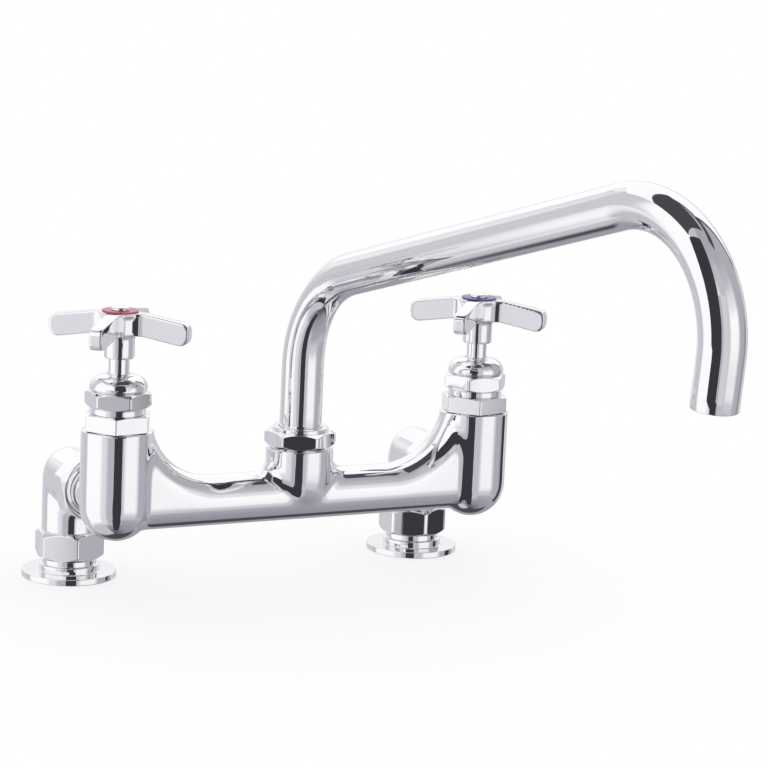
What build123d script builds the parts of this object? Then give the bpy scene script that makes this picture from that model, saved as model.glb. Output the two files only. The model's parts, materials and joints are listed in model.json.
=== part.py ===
from build123d import *
import math
import os

# Two-handle bridge faucet for a counter, with a swinging spout. Millimetres, +Z up, the user stands at -Y.
# Origin: on the counter, midway between the two supply inlets. Hot is at -X and cold at +X.

# Layout
inlet_centres = 203.2        # between the two inlets, and between the two valve axes
bridge_forward = 66.7        # the valve axes stand this far in front of the inlet axes
bridge_height = 53.0         # axis of the bridge tube above the counter
union_rise = 1.5             # axis of the rear unions above that of the tube

# Body casting
post_radius = 18.5           # valve post
post_drop = 18.0             # lowest point of its round end below the tube's axis
tube_radius = 13.3           # bridge tube
tube_bore = 8.5
saddle_radius = 34.0         # concave sweep from the top of a post down to the tube
boss_radius = 17.7           # spout boss at the middle
boss_rise = 25.5             # its top above the tube's axis
boss_drop = 2.7              # its foot below the tube's axis
boss_fillet = 5.0
nose_length = 4.9            # threaded nose of the boss, inside the spout nut
mixing_bore = 8.0            # from the bridge bore up to the spout
chamber_radius = 11.0        # pressure chamber under each seat
chamber_wall = 9.0           # below it
seat_web = 6.0               # wall that carries the seat
post_rise = 24.8             # from that wall to the top of the post
inlet_bore = 7.5
cross_bore = 5.5             # sloping way from above the seat down to the bridge bore
cross_reach = 9.0            # its upper end from the valve axis
cross_rise = 6.0             # its upper end above the seat wall
cross_foot_rise = 2.75       # its lower end above the tube's axis
bridge_bore_gap = 20.0       # from a valve axis to the end of the bridge bore

# Unions: a nut held on the elbow by a snap ring, over a threaded end
thread_radius = 13.2         # threaded ends of the body, the boss and the inlet flanges
thread_gap = 0.1             # radial play in a thread
union_flats = 33.0           # across the flats of the four union nuts
union_length = 15.0
union_lip = 3.0              # inward lip of a union nut
neck_radius = 10.5           # neck of the elbow inside the nut
neck_play = 0.2
snap_thickness = 1.6
snap_radius = 12.4
snap_depth = 0.9             # how deep its groove is
snap_split = 2.0             # opening of the ring
neck_end = 1.5               # neck beyond the snap ring, up to the washer
washer_thickness = 2.0
washer_radius = 12.7
collar_gap = 0.1             # between the elbow's shoulder and the nut

# Elbow and inlet flange
elbow_radius = 15.0
elbow_reach = 21.0           # from its corner to the shoulder behind the rear nut
elbow_bore = 7.5
flange_radius = 25.0
flange_thickness = 3.4
step_radius = 16.2           # lower ring of the neck
step_top = 7.0
ring_radius = 14.4           # upper ring of the neck
ring_top = 10.2
pipe_thread_radius = 9.9     # female half-inch pipe thread
pipe_thread_depth = 14.0
flange_edge = 0.6

# Bonnet and packing nut
bonnet_flats = 31.75
bonnet_height = 8.8
barrel_radius = 12.9         # the bonnet's thread in the post
barrel_length = 14.0
gasket_radius = 15.6
gasket_thickness = 0.8
guide_bore = 8.6             # lower bore that guides the washer holder
guide_depth = 10.0
key_width = 3.0              # slots that keep the holder from turning
key_reach = 10.4
key_play = 0.15
collar_radius = 14.2         # round collar between the two hexagons
collar_height = 3.0
packing_thread_radius = 11.4
packing_thread_length = 7.4
packing_bore = 8.2           # stuffing box
packing_sink = 2.4           # how far it reaches down into the bonnet
packing_height = 5.0
packing_flats = 30.0
packing_hex_height = 8.6
dome_radius = 14.9
dome_wall = 1.2              # short upright wall under the dome
dome_height = 7.4
dome_dimple = 6.6            # flat round the stem
gland_play = 0.15

# Stem and seat
stem_radius = 5.3
stem_play = 0.08             # running clearance of the stem
screw_radius = 6.5           # coarse lifting thread
screw_gap = 0.6              # left above that thread when the valve is open
foot_radius = 4.4
foot_length = 5.2
foot_play = 0.2
foot_groove = 0.8
lift = 3.0                   # how far the valve opens
broach_radius = 4.2          # square end for the handle, half its width over flats
broach_sink = 7.4            # its shoulder above the handle's lower end
stem_sink = 1.8              # its end below the handle's top
holder_radius = 8.4
holder_height = 10.0
holder_rim = 1.8             # rim round the seat washer
holder_wall = 1.1
key_height = 4.0
seat_washer_thickness = 3.0
seat_radius = 8.1
seat_bore = 4.8
seat_crown = 1.4             # raised lip that the washer closes on
seat_crown_radius = 6.0
seat_crown_flare = 0.8       # how much wider the lip's foot is
seat_play = 0.2              # the seat ends this far inside its wall
seat_key_depth = 3.8         # hexagon hole for the seat wrench
seat_key_corner = 5.2
washer_screw_radius = 1.9
washer_screw_head = 3.4
washer_screw_head_height = 1.8
washer_screw_length = 3.6
washer_screw_end = 0.5       # left below the hole's end
screw_slot = 0.9
screw_slot_depth = 0.7
clip_thickness = 0.9
clip_play = 0.1
clip_mouth = 1.6             # opening of the clip

# Handle
handle_gap = 7.8             # from the dome up to the handle of a closed valve
handle_height = 23.8
hub_radius = 7.8             # round neck below the arms
hub_head_radius = 10.4       # disc round the index ring
hub_cone = 3.2               # height over which the neck widens to that disc
arm_reach = 37.2
arm_thickness = 7.0
arm_flat = 0.1               # level part of the arm beyond the blend with its neighbour
arm_root_sink = 0.2          # top of the arm there, below the handle's top
arm_root_depth = 11.5
arm_tip_sink = 3.8           # the same at the tip
arm_tip_depth = 11.8
arm_tip_round = 3.6          # upper corner of the tip
arm_tip_belly = 5.6          # lower one
arm_edge = 0.9
hub_blend = 10.0             # concave corner between two arms
broach_play = 0.1
index_radius = 9.3
index_play = 0.1
index_thickness = 1.6
index_sink = 0.8             # how deep the ring lies in the handle
button_radius = 4.7          # domed screw on top
button_height = 2.4
button_shank = 2.4
button_shank_length = 12.0
tap_gap = 1.0                # left below the screw's end
shank_play = 0.3

# Spout
spout_reach = 304.8          # from the swing axis to the middle of the outlet
spout_yaw = 11.4             # degrees that the spout is turned to the cold side
spout_radius = 11.0
spout_wall = 1.2
riser_length = 35.0          # straight tube above the tail piece
first_bend = 56.5            # centreline radii of the two bends
second_bend = 54.3
spout_slope = 16.8           # degrees above level
outlet_lean = 4.8            # degrees that the outlet leans back towards the valves
outlet_length = 23.4         # straight end
nut_flats = 33.0
nut_bottom_gap = 0.8         # shadow line between boss and nut
nut_hex_height = 8.2
nut_ring_radius = 14.6
nut_ring_height = 2.0
swing_washer = 0.8
tail_flange_radius = 12.9
tail_flange = 2.5
tail_play = 0.08             # running clearance of the tail in the boss
tail_length = 13.0
tail_floor_gap = 1.0         # left below the tail
tail_bore = 7.5
spigot_length = 11.0         # brazed into the tube
spout_end_play = 0.1
thrust_play = 0.1            # between thrust washer and tail
nut_play = 0.15              # between spout nut and tube
braze_gap = 0.02
o_rings = 2
o_ring_section = 1.8
o_ring_play = 0.02
o_ring_groove = 2.4
o_ring_first = 3.4           # below the tail's flange
o_ring_pitch = 4.8

# Common to several pieces
hex_face = 0.97              # turned end face of a hexagon, as a share of its flats
hex_chamfer = 30.0           # degrees
sharp_chamfer = 12.0         # degrees: the nearly square edges of the bonnet's hexagon
fit_gap = 0.05               # round a screw in its hole, and round the packing
bite = 1.0                   # how far a cut or a joined solid runs past a face

# How each hexagon and handle happens to be turned
bonnet_turn = {"hot": 7.0, "cold": 13.2}     # degrees
packing_turn = {"hot": 31.4, "cold": 51.6}   # degrees
handle_turn = {"hot": 50.1, "cold": 46.9}    # degrees
lower_turn = {"hot": 24.0, "cold": 28.0}     # degrees
rear_turn = {"hot": 41.0, "cold": 19.0}      # degrees
spout_nut_turn = 35.0                        # degrees

# Sizes that follow from the ones above
half_centres = inlet_centres / 2
side_x = {"hot": -half_centres, "cold": half_centres}
union_height = bridge_height + union_rise
post_bottom = bridge_height - post_drop
chamber_floor = post_bottom + chamber_wall
seat_web_bottom = union_height + inlet_bore
seat_web_top = seat_web_bottom + seat_web
post_top = seat_web_top + post_rise
boss_top = bridge_height + boss_rise
nose_top = boss_top + nose_length

shoulder_depth = bridge_forward - elbow_reach    # from the valve axis to the elbow's shoulder
union_seat = union_length - union_lip - snap_thickness - thread_gap    # from nut mouth to snap ring
neck_low = union_seat - neck_end
washer_seat = neck_low - washer_thickness    # end of the male thread
stub_length = shoulder_depth - collar_gap - union_length + washer_seat

bonnet_top = post_top + bonnet_height
packing_floor = bonnet_top - packing_sink
packing_top = packing_floor + packing_height
packing_nut_bottom = bonnet_top + collar_height
thread_top = packing_nut_bottom + packing_thread_length
dome_base = packing_nut_bottom + packing_hex_height
dome_top = dome_base + dome_wall + dome_height

seat_face = seat_web_top + seat_crown
holder_bottom = seat_face + seat_washer_thickness
holder_top = holder_bottom + holder_height
foot_bottom = holder_top - foot_length
clip_height = foot_bottom + foot_length / 2
screw_bottom = holder_top + foot_play
screw_top = packing_floor - lift - screw_gap
screw_bore = screw_radius + stem_play

handle_bottom = dome_top + handle_gap
handle_top = handle_bottom + handle_height
arm_root_top = handle_top - arm_root_sink
arm_root_bottom = arm_root_top - arm_root_depth
arm_tip_top = handle_top - arm_tip_sink
arm_tip_bottom = arm_tip_top - arm_tip_depth
arm_root = arm_thickness / 2 + hub_blend + arm_flat    # where the arm's slopes start
broach_bottom = handle_bottom + broach_sink
stem_top = handle_top - stem_sink
index_low = handle_top - index_sink
button_low = index_low + index_thickness
shank_low = button_low - button_shank_length

tube_inner = spout_radius - spout_wall
tail_seat = nose_top + swing_washer
tail_top = tail_seat + tail_flange
tail_bottom = tail_seat - tail_length
tail_floor = tail_bottom - tail_floor_gap
riser_top = tail_top + riser_length


def solid_cylinder(radius, low, high):
    return Pos(0, 0, (low + high) / 2) * Cylinder(radius, high - low)


def sleeve(outer, inner, low, high):
    return solid_cylinder(outer, low, high) - solid_cylinder(inner, low, high)


def turned(*points):
    """A solid of revolution about Z from (radius, height) corners."""
    return revolve(Plane.XZ * make_face(Polyline(*points, close=True)), axis=Axis.Z)


def hexagon(flats, low, high, turn, chamfer, both=True):
    """A hexagon bar whose corners are turned off at the chamfer angle, at the top or at both ends."""
    corner = flats / math.sqrt(3)
    face = hex_face * flats / 2
    drop = (corner - face) * math.tan(math.radians(chamfer))
    bar = extrude(Pos(0, 0, low) * RegularPolygon(corner, 6, rotation=turn), high - low)
    foot = [(face, low), (corner, low + drop)] if both else [(corner, low)]
    return bar & turned((0, low), *foot, (corner, high - drop), (face, high), (0, high))


# ---------------------------------------------------------------- body casting

def saddle():
    """The concave sweep on the inboard side of a post at the origin, running towards +X."""
    path_radius = saddle_radius + tube_radius
    centre_height = bridge_height + path_radius
    top_angle = 180 + math.degrees(math.asin((centre_height - post_top) / path_radius))
    path = Plane.XZ * CenterArc((path_radius, centre_height), path_radius, top_angle, 270 - top_angle)
    start_x = path_radius * (1 + math.cos(math.radians(top_angle)))
    shift = saddle_foot() - path_radius
    section = Plane(path @ 1, z_dir=(1, 0, 0)) * Circle(tube_radius)
    swept = sweep(section, path)
    arc = CenterArc((path_radius, centre_height), path_radius, top_angle, 270 - top_angle)
    under = make_face([
        arc,
        Line((path_radius, bridge_height), (start_x, bridge_height)),
        Line((start_x, bridge_height), arc @ 0),
    ])
    web = extrude(Plane.XZ * under, tube_radius, both=True)
    above = Pos(0, 0, post_top + tube_radius) * Box(4 * path_radius, 4 * tube_radius, 2 * tube_radius)
    return Pos(shift, 0, 0) * (swept + web - above)


def saddle_foot():
    """How far from the valve axis the saddle runs out into the tube."""
    rise = post_top - bridge_height - tube_radius
    return post_radius + math.sqrt(2 * saddle_radius * rise - rise * rise)


def bridge_body():
    tube = Rot(0, 90, 0) * Cylinder(tube_radius, inlet_centres)
    outside = Pos(0, 0, bridge_height) * tube
    outside += solid_cylinder(boss_radius, bridge_height - boss_drop, boss_top)
    joint = outside.edges().filter_by_position(Axis.Z, bridge_height, boss_top - bite)
    joint = joint.filter_by(lambda e: e.length > boss_radius and abs(e.center().X) < boss_radius)
    outside = fillet(joint, boss_fillet)
    outside += solid_cylinder(thread_radius, boss_top - bite, nose_top)
    dome_centre = post_bottom + post_radius
    post = solid_cylinder(post_radius, dome_centre, post_top) + Pos(0, 0, dome_centre) * Sphere(post_radius)
    stub = Pos(0, stub_length / 2, union_height) * Rot(90, 0, 0) * Cylinder(thread_radius, stub_length)
    end = post + stub + saddle()
    outside += Pos(-half_centres, 0, 0) * end
    outside += Pos(half_centres, 0, 0) * mirror(end, about=Plane.YZ)
    return Pos(0, -bridge_forward, 0) * (outside - inside_of_body())


def inside_of_body():
    bore_half = half_centres - bridge_bore_gap
    hollow = Pos(0, 0, bridge_height) * Rot(0, 90, 0) * Cylinder(tube_bore, 2 * bore_half)
    hollow += solid_cylinder(mixing_bore, bridge_height, tail_floor)
    hollow += solid_cylinder(spout_radius, tail_floor, nose_top)
    for side in side_x:
        inboard = 1 if side == "hot" else -1
        valve = solid_cylinder(barrel_radius + thread_gap, seat_web_top, post_top)
        valve += solid_cylinder(gasket_radius, post_top - gasket_thickness, post_top)
        valve += solid_cylinder(seat_radius, seat_web_bottom, seat_web_top)
        valve += solid_cylinder(chamber_radius, chamber_floor, seat_web_bottom)
        valve += Pos(0, stub_length / 2, union_height) * Rot(90, 0, 0) * Cylinder(inlet_bore, stub_length)
        slope_top = Vector(inboard * cross_reach, 0, seat_web_top + cross_rise)
        slope_foot = Vector(inboard * (bridge_bore_gap + cross_bore), 0, bridge_height + cross_foot_rise)
        way = slope_foot - slope_top
        valve += Plane(slope_top, z_dir=way) * Cylinder(
            cross_bore, way.length, align=(Align.CENTER, Align.CENTER, Align.MIN)
        )
        hollow += Pos(side_x[side], 0, 0) * valve
    return hollow


# ---------------------------------------------------------------- unions, from the nut's mouth upwards

def union_nut(turn):
    nut = hexagon(union_flats, 0, union_length, turn, hex_chamfer)
    nut -= solid_cylinder(thread_radius + thread_gap, 0, union_length - union_lip)
    return nut - solid_cylinder(neck_radius + neck_play, 0, union_length)


def snap_ring():
    ring_top_end = union_seat + snap_thickness
    ring = sleeve(snap_radius, neck_radius - snap_depth + neck_play / 2, union_seat, ring_top_end)
    return ring - Pos(snap_radius, 0, ring_top_end) * Box(snap_radius, snap_split, 2 * snap_thickness)


def union_washer():
    return sleeve(washer_radius, elbow_bore, washer_seat, neck_low)


def elbow_neck():
    """The reduced end of the elbow that hangs in the nut, with its snap ring groove."""
    neck = solid_cylinder(neck_radius, neck_low, union_length + collar_gap)
    groove_low = union_seat - thread_gap / 2
    groove_top = union_seat + snap_thickness + thread_gap / 2
    return neck - sleeve(neck_radius + bite, neck_radius - snap_depth, groove_low, groove_top)


def rear_place(side):
    """Puts a union piece on the rear union: the nut's mouth faces the post."""
    mouth = -elbow_reach - collar_gap - union_length
    return Pos(side_x[side], mouth, union_height) * Rot(-90, 0, 0)


def lower_place(side):
    return Pos(side_x[side], 0, ring_top)


def elbow_legs(radius, low, reach):
    """Two straight legs that meet in a ball-shaped corner."""
    legs = solid_cylinder(radius, low, union_height) + Pos(0, 0, union_height) * Sphere(radius)
    return legs + Pos(0, -reach / 2, union_height) * Rot(90, 0, 0) * Cylinder(radius, reach)


def elbow():
    """At the origin of its inlet axis."""
    outside = elbow_legs(elbow_radius, ring_top + union_length + collar_gap, elbow_reach)
    outside += Pos(0, 0, ring_top) * elbow_neck()
    outside += Pos(0, -elbow_reach - collar_gap - union_length, union_height) * Rot(-90, 0, 0) * elbow_neck()
    bore_reach = elbow_reach + collar_gap + union_length - neck_low
    return outside - elbow_legs(elbow_bore, ring_top + neck_low, bore_reach)


def inlet_flange():
    thread_end = ring_top + washer_seat
    flange = turned(
        (0, 0), (flange_radius, 0), (flange_radius, flange_thickness - flange_edge),
        (flange_radius - flange_edge, flange_thickness), (step_radius, flange_thickness),
        (step_radius, step_top - flange_edge), (step_radius - flange_edge, step_top),
        (ring_radius, step_top), (ring_radius, ring_top - flange_edge),
        (ring_radius - flange_edge, ring_top), (thread_radius, ring_top),
        (thread_radius, thread_end), (0, thread_end),
    )
    flange -= solid_cylinder(pipe_thread_radius, 0, pipe_thread_depth)
    return flange - solid_cylinder(elbow_bore, 0, thread_end)


# ---------------------------------------------------------------- valve, built on its own axis

def bonnet(side):
    hexagon_part = hexagon(bonnet_flats, post_top, bonnet_top, bonnet_turn[side], sharp_chamfer, both=False)
    barrel_bottom = post_top - barrel_length
    shape = hexagon_part + solid_cylinder(barrel_radius, barrel_bottom, post_top)
    shape += solid_cylinder(collar_radius, bonnet_top, packing_nut_bottom)
    shape += solid_cylinder(packing_thread_radius, packing_nut_bottom, thread_top)
    shape -= solid_cylinder(screw_bore, barrel_bottom, packing_floor)
    shape -= solid_cylinder(packing_bore, packing_floor, thread_top)
    guide_top = barrel_bottom + guide_depth
    shape -= solid_cylinder(guide_bore, barrel_bottom, guide_top)
    middle = (barrel_bottom + guide_top) / 2
    return shape - Pos(0, 0, middle) * Box(2 * key_reach, key_width, guide_depth)


def bonnet_gasket():
    return sleeve(gasket_radius, barrel_radius, post_top - gasket_thickness, post_top)


def packing_nut(side):
    nut = hexagon(packing_flats, packing_nut_bottom, dome_base, packing_turn[side], hex_chamfer)
    nut += solid_cylinder(dome_radius, dome_base, dome_base + dome_wall)
    nut += Pos(0, 0, dome_base + dome_wall) * dome_crown()
    nut -= solid_cylinder(packing_thread_radius + thread_gap, packing_nut_bottom, thread_top)
    return nut - solid_cylinder(stem_radius + gland_play, packing_nut_bottom, dome_top + bite)


def dome_crown():
    """The round top of the packing nut: a quarter ellipse that ends in a small flat."""
    span = dome_radius - dome_dimple
    outline = [
        Line((0, 0), (dome_radius, 0)),
        EllipticalCenterArc((dome_dimple, 0), span, dome_height, arc_size=90),
        Line((dome_dimple, dome_height), (0, dome_height)),
        Line((0, dome_height), (0, 0)),
    ]
    return revolve(Plane.XZ * make_face(outline), axis=Axis.Z)


def packing():
    return sleeve(packing_bore - fit_gap, stem_radius + fit_gap, packing_floor, packing_top)


def packing_gland():
    return sleeve(packing_bore - gland_play, stem_radius + gland_play, packing_top, thread_top)


def stem():
    shape = solid_cylinder(screw_radius, screw_bottom, screw_top)
    shape += solid_cylinder(stem_radius, screw_top, broach_bottom)
    shape += Pos(0, 0, (broach_bottom + stem_top) / 2) * Box(
        2 * broach_radius, 2 * broach_radius, stem_top - broach_bottom
    )
    shape += solid_cylinder(foot_radius, foot_bottom, screw_bottom)
    shape -= clip_groove(foot_radius - foot_groove, foot_radius + bite)
    return shape - solid_cylinder(button_shank + fit_gap, shank_low - tap_gap, stem_top)


def clip_groove(inner, outer):
    half = clip_thickness / 2 + clip_play
    return sleeve(outer, inner, clip_height - half, clip_height + half)


def holder_clip():
    inner = foot_radius - foot_groove + clip_play
    outer = foot_radius + foot_groove
    ring = sleeve(outer, inner, clip_height - clip_thickness / 2, clip_height + clip_thickness / 2)
    return ring - Pos(outer, 0, clip_height) * Box(outer, clip_mouth, 2 * clip_thickness)


def washer_holder():
    """Carries the seat washer up and down without turning: two keys run in the bonnet's slots."""
    shape = solid_cylinder(holder_radius, holder_bottom - holder_rim, holder_top)
    shape += Pos(0, 0, holder_top - key_height / 2) * Box(
        2 * (key_reach - key_play), key_width - 2 * key_play, key_height
    )
    shape -= solid_cylinder(holder_radius - holder_wall, holder_bottom - holder_rim, holder_bottom)
    shape -= solid_cylinder(foot_radius + stem_play, foot_bottom, holder_top)
    shape -= clip_groove(foot_radius, foot_radius + foot_groove + clip_play)
    hole_top = holder_bottom + washer_screw_length
    return shape - solid_cylinder(washer_screw_radius + fit_gap, holder_bottom, hole_top)


def seat_washer():
    outer = holder_radius - holder_wall - clip_play
    return sleeve(outer, washer_screw_radius + fit_gap, seat_face, holder_bottom)


def washer_screw():
    end = holder_bottom + washer_screw_length - washer_screw_end
    head_low = seat_face - washer_screw_head_height
    screw = solid_cylinder(washer_screw_radius, seat_face, end)
    screw += solid_cylinder(washer_screw_head, head_low, seat_face)
    return screw - Pos(0, 0, head_low) * Box(3 * washer_screw_head, screw_slot, 2 * screw_slot_depth)


def seat():
    top = seat_web_top
    low = seat_web_bottom + seat_play
    foot = seat_crown_radius + seat_crown_flare
    shape = solid_cylinder(seat_radius, low, top)
    shape += turned((0, top), (foot, top), (seat_crown_radius, seat_face), (0, seat_face))
    shape -= extrude(Pos(0, 0, low) * RegularPolygon(seat_key_corner, 6), seat_key_depth)
    return shape - solid_cylinder(seat_bore, low, seat_face)


# ---------------------------------------------------------------- handle, built on the valve axis

def handle_arm():
    profile = Plane.XZ * make_face(Polyline(
        (0, arm_root_top), (arm_root, arm_root_top), (arm_reach, arm_tip_top),
        (arm_reach, arm_tip_bottom), (arm_root, arm_root_bottom), (0, arm_root_bottom), close=True,
    ))
    arm = extrude(profile, arm_thickness / 2, both=True)
    belly = arm.edges().filter_by(Axis.Y).sort_by(Axis.X)[-2:].sort_by(Axis.Z)[0]
    arm = fillet(belly, arm_tip_belly)
    corner = arm.edges().filter_by(Axis.Y).sort_by(Axis.X)[-2:].sort_by(Axis.Z)[-1]
    arm = fillet(corner, arm_tip_round)
    rims = arm.edges().filter_by(lambda e: e.center().X > arm_root and abs(e.center().Y) > arm_edge)
    return fillet(rims, arm_edge)


def handle_head():
    """The middle of the cross: wide blends between the arms, and the disc round the index ring."""
    bar = Rectangle(2 * arm_root, arm_thickness)
    plan = bar + Rot(0, 0, 90) * bar
    corners = plan.vertices().filter_by(lambda v: math.hypot(v.X, v.Y) < arm_thickness)
    plan = fillet(corners, hub_blend)
    cross = extrude(Pos(0, 0, arm_root_bottom) * plan, handle_top - arm_root_bottom)
    cone_foot = handle_top - hub_cone
    return cross + turned(
        (0, cone_foot), (hub_radius, cone_foot), (hub_head_radius, handle_top - arm_edge),
        (hub_head_radius, handle_top), (0, handle_top),
    )


def handle(side):
    shape = handle_head()
    for quarter in range(4):
        shape += Rot(0, 0, 90 * quarter) * handle_arm()
    shape += turned(
        (0, handle_bottom), (hub_radius - arm_edge, handle_bottom), (hub_radius, handle_bottom + arm_edge),
        (hub_radius, arm_root_bottom + bite), (0, arm_root_bottom + bite),
    )
    shape -= solid_cylinder(index_radius + index_play, index_low, handle_top + bite)
    shape -= solid_cylinder(button_shank + shank_play, broach_bottom, handle_top)
    shape -= Pos(0, 0, (broach_bottom + stem_top) / 2) * Box(
        2 * (broach_radius + broach_play), 2 * (broach_radius + broach_play), stem_top - broach_bottom
    )
    shape -= solid_cylinder(stem_radius + broach_play, handle_bottom, broach_bottom)
    return Rot(0, 0, handle_turn[side]) * shape


def index_ring():
    return sleeve(index_radius, button_shank + shank_play, index_low, button_low)


def handle_screw():
    dome = (button_radius**2 + button_height**2) / (2 * button_height)
    head = Pos(0, 0, button_low + button_height - dome) * Sphere(dome)
    head &= solid_cylinder(button_radius + bite, button_low, button_low + button_height + bite)
    return head + solid_cylinder(button_shank, shank_low, button_low)


# ---------------------------------------------------------------- spout

def spout_path(low):
    """Centreline in the XZ plane, from the swing axis towards +X."""
    slope = math.radians(spout_slope)
    lean = math.radians(outlet_lean)
    riser = Line((0, low), (0, riser_top))
    bend = CenterArc((first_bend, riser_top), first_bend, 180, -(90 - spout_slope))
    bend_end = bend @ 1
    drop_x = second_bend * (math.sin(slope) + math.cos(lean)) - outlet_length * math.sin(lean)
    run = (spout_reach - bend_end.X - drop_x) / math.cos(slope)
    incline = Line(bend_end, bend_end + Vector(run * math.cos(slope), run * math.sin(slope)))
    centre = (incline @ 1) + Vector(second_bend * math.sin(slope), -second_bend * math.cos(slope))
    fall = CenterArc(centre, second_bend, 90 + spout_slope, -(90 + spout_slope + outlet_lean))
    down = Vector(-math.sin(lean), -math.cos(lean))
    outlet = Line(fall @ 1, (fall @ 1) + down * outlet_length)
    return Plane.XZ * (riser + bend + incline + fall + outlet)


def spout_place():
    return Pos(0, -bridge_forward, 0) * Rot(0, 0, spout_yaw - 90)


def spout_tube():
    path = spout_path(tail_top)
    start = Plane((0, 0, tail_top), z_dir=(0, 0, 1))
    return sweep(start * Circle(spout_radius), path) - sweep(start * Circle(tube_inner), path)


def o_ring_groove_tops():
    return [tail_seat - o_ring_first - number * o_ring_pitch for number in range(o_rings)]


def spout_tail():
    spigot_top = tail_top + spigot_length
    shape = solid_cylinder(spout_radius - tail_play, tail_bottom, tail_seat)
    shape += solid_cylinder(tail_flange_radius, tail_seat, tail_top)
    shape += solid_cylinder(tube_inner - braze_gap, tail_top, spigot_top)
    for top in o_ring_groove_tops():
        shape -= sleeve(spout_radius + bite, spout_radius - o_ring_section, top - o_ring_groove, top)
    return shape - solid_cylinder(tail_bore, tail_bottom, spigot_top)


def spout_o_rings():
    ring = Torus(spout_radius - o_ring_section / 2, o_ring_section / 2 - o_ring_play)
    return Compound(children=[Pos(0, 0, top - o_ring_groove / 2) * ring for top in o_ring_groove_tops()])


def thrust_washer():
    return sleeve(tail_flange_radius, spout_radius + thrust_play, nose_top, tail_seat)


def spout_nut():
    low = boss_top + nut_bottom_gap
    hex_top = low + nut_hex_height
    nut_top = hex_top + nut_ring_height
    nut = hexagon(nut_flats, low, hex_top, spout_nut_turn, hex_chamfer)
    nut += solid_cylinder(nut_ring_radius, hex_top, nut_top)
    nut -= solid_cylinder(thread_radius + thread_gap, low, tail_top + spout_end_play)
    return nut - solid_cylinder(spout_radius + nut_play, low, nut_top)


# ---------------------------------------------------------------- placing and writing

def valve_place(side):
    return Pos(side_x[side], -bridge_forward, 0)


def all_nodes():
    nodes = {"bridge_body": bridge_body()}
    for side in side_x:
        here = valve_place(side)
        nodes[f"{side}_bonnet"] = here * bonnet(side)
        nodes[f"{side}_bonnet_gasket"] = here * bonnet_gasket()
        nodes[f"{side}_packing_nut"] = here * packing_nut(side)
        nodes[f"{side}_packing"] = here * packing()
        nodes[f"{side}_packing_gland"] = here * packing_gland()
        nodes[f"{side}_stem"] = here * Rot(0, 0, handle_turn[side]) * stem()
        nodes[f"{side}_washer_holder"] = here * washer_holder()
        nodes[f"{side}_holder_clip"] = here * holder_clip()
        nodes[f"{side}_seat_washer"] = here * seat_washer()
        nodes[f"{side}_washer_screw"] = here * washer_screw()
        nodes[f"{side}_seat"] = here * seat()
        nodes[f"{side}_handle"] = here * handle(side)
        nodes[f"{side}_index_ring"] = here * index_ring()
        nodes[f"{side}_handle_screw"] = here * handle_screw()
        nodes[f"{side}_elbow"] = Pos(side_x[side], 0, 0) * elbow()
        nodes[f"{side}_inlet_flange"] = Pos(side_x[side], 0, 0) * inlet_flange()
        for level, place, turn in (("rear", rear_place, rear_turn), ("lower", lower_place, lower_turn)):
            there = place(side)
            nodes[f"{side}_{level}_nut"] = there * union_nut(turn[side])
            nodes[f"{side}_{level}_snap_ring"] = there * snap_ring()
            nodes[f"{side}_{level}_washer"] = there * union_washer()
    over = spout_place()
    nodes["spout_tube"] = over * spout_tube()
    nodes["spout_tail"] = over * spout_tail()
    nodes["spout_o_rings"] = over * spout_o_rings()
    nodes["spout_thrust_washer"] = over * thrust_washer()
    nodes["spout_nut"] = Pos(0, -bridge_forward, 0) * spout_nut()
    return nodes


os.makedirs("parts", exist_ok=True)
for name, shape in all_nodes().items():
    export_step(shape, f"parts/{name}.step")
    print(name, round(shape.volume, 1))
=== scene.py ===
import json
import math

import bmesh
import bpy
from mathutils import Matrix, Vector


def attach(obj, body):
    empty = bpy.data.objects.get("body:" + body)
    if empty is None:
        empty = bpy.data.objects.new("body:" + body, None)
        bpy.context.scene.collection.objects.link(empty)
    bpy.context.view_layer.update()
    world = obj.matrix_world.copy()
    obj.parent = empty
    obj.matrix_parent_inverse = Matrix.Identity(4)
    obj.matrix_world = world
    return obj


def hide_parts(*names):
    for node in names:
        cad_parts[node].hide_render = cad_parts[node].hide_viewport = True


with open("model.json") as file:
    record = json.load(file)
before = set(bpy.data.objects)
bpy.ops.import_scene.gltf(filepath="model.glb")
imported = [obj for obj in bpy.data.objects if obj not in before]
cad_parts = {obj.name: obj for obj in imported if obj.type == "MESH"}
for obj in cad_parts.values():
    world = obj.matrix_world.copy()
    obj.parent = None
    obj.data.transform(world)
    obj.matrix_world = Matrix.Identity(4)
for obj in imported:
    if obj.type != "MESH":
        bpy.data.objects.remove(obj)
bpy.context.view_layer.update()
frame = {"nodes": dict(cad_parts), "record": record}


# Inlet flanges
# A turned brass foot on each supply, chrome plated like everything that shows. It stands on the
# counter, has a pipe thread inside and carries a male thread for the lower union nut.

INLET_SPACING = 203.2        # sizes are in millimetres and angles in degrees, in all sections
INLETS = {"hot": -INLET_SPACING / 2, "cold": INLET_SPACING / 2}
SOCKET_RADIUS = 9.9
SOCKET_DEPTH = 14.0
INLET_BORE = 7.5             # a radius, as are the bores, holes and threads below
INLET_TOP = 18.0
FLANGE_RADIUS = 24.99
FLANGE_TOP = 3.4
SHOULDER_RADIUS = 16.2
SHOULDER_TOP = 7.0
COLLAR_RADIUS = 14.4
LOWER_NUT_FOOT = 10.2
UNION_THREAD = 13.2


def linear(code):
    """The linear colour of an sRGB hex code such as "#8a8d90"."""
    def decode(part):
        return part / 12.92 if part <= 0.04045 else ((part + 0.055) / 1.055) ** 2.4
    return tuple(decode(int(code[i:i + 2], 16) / 255) for i in (1, 3, 5)) + (1.0,)


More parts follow.
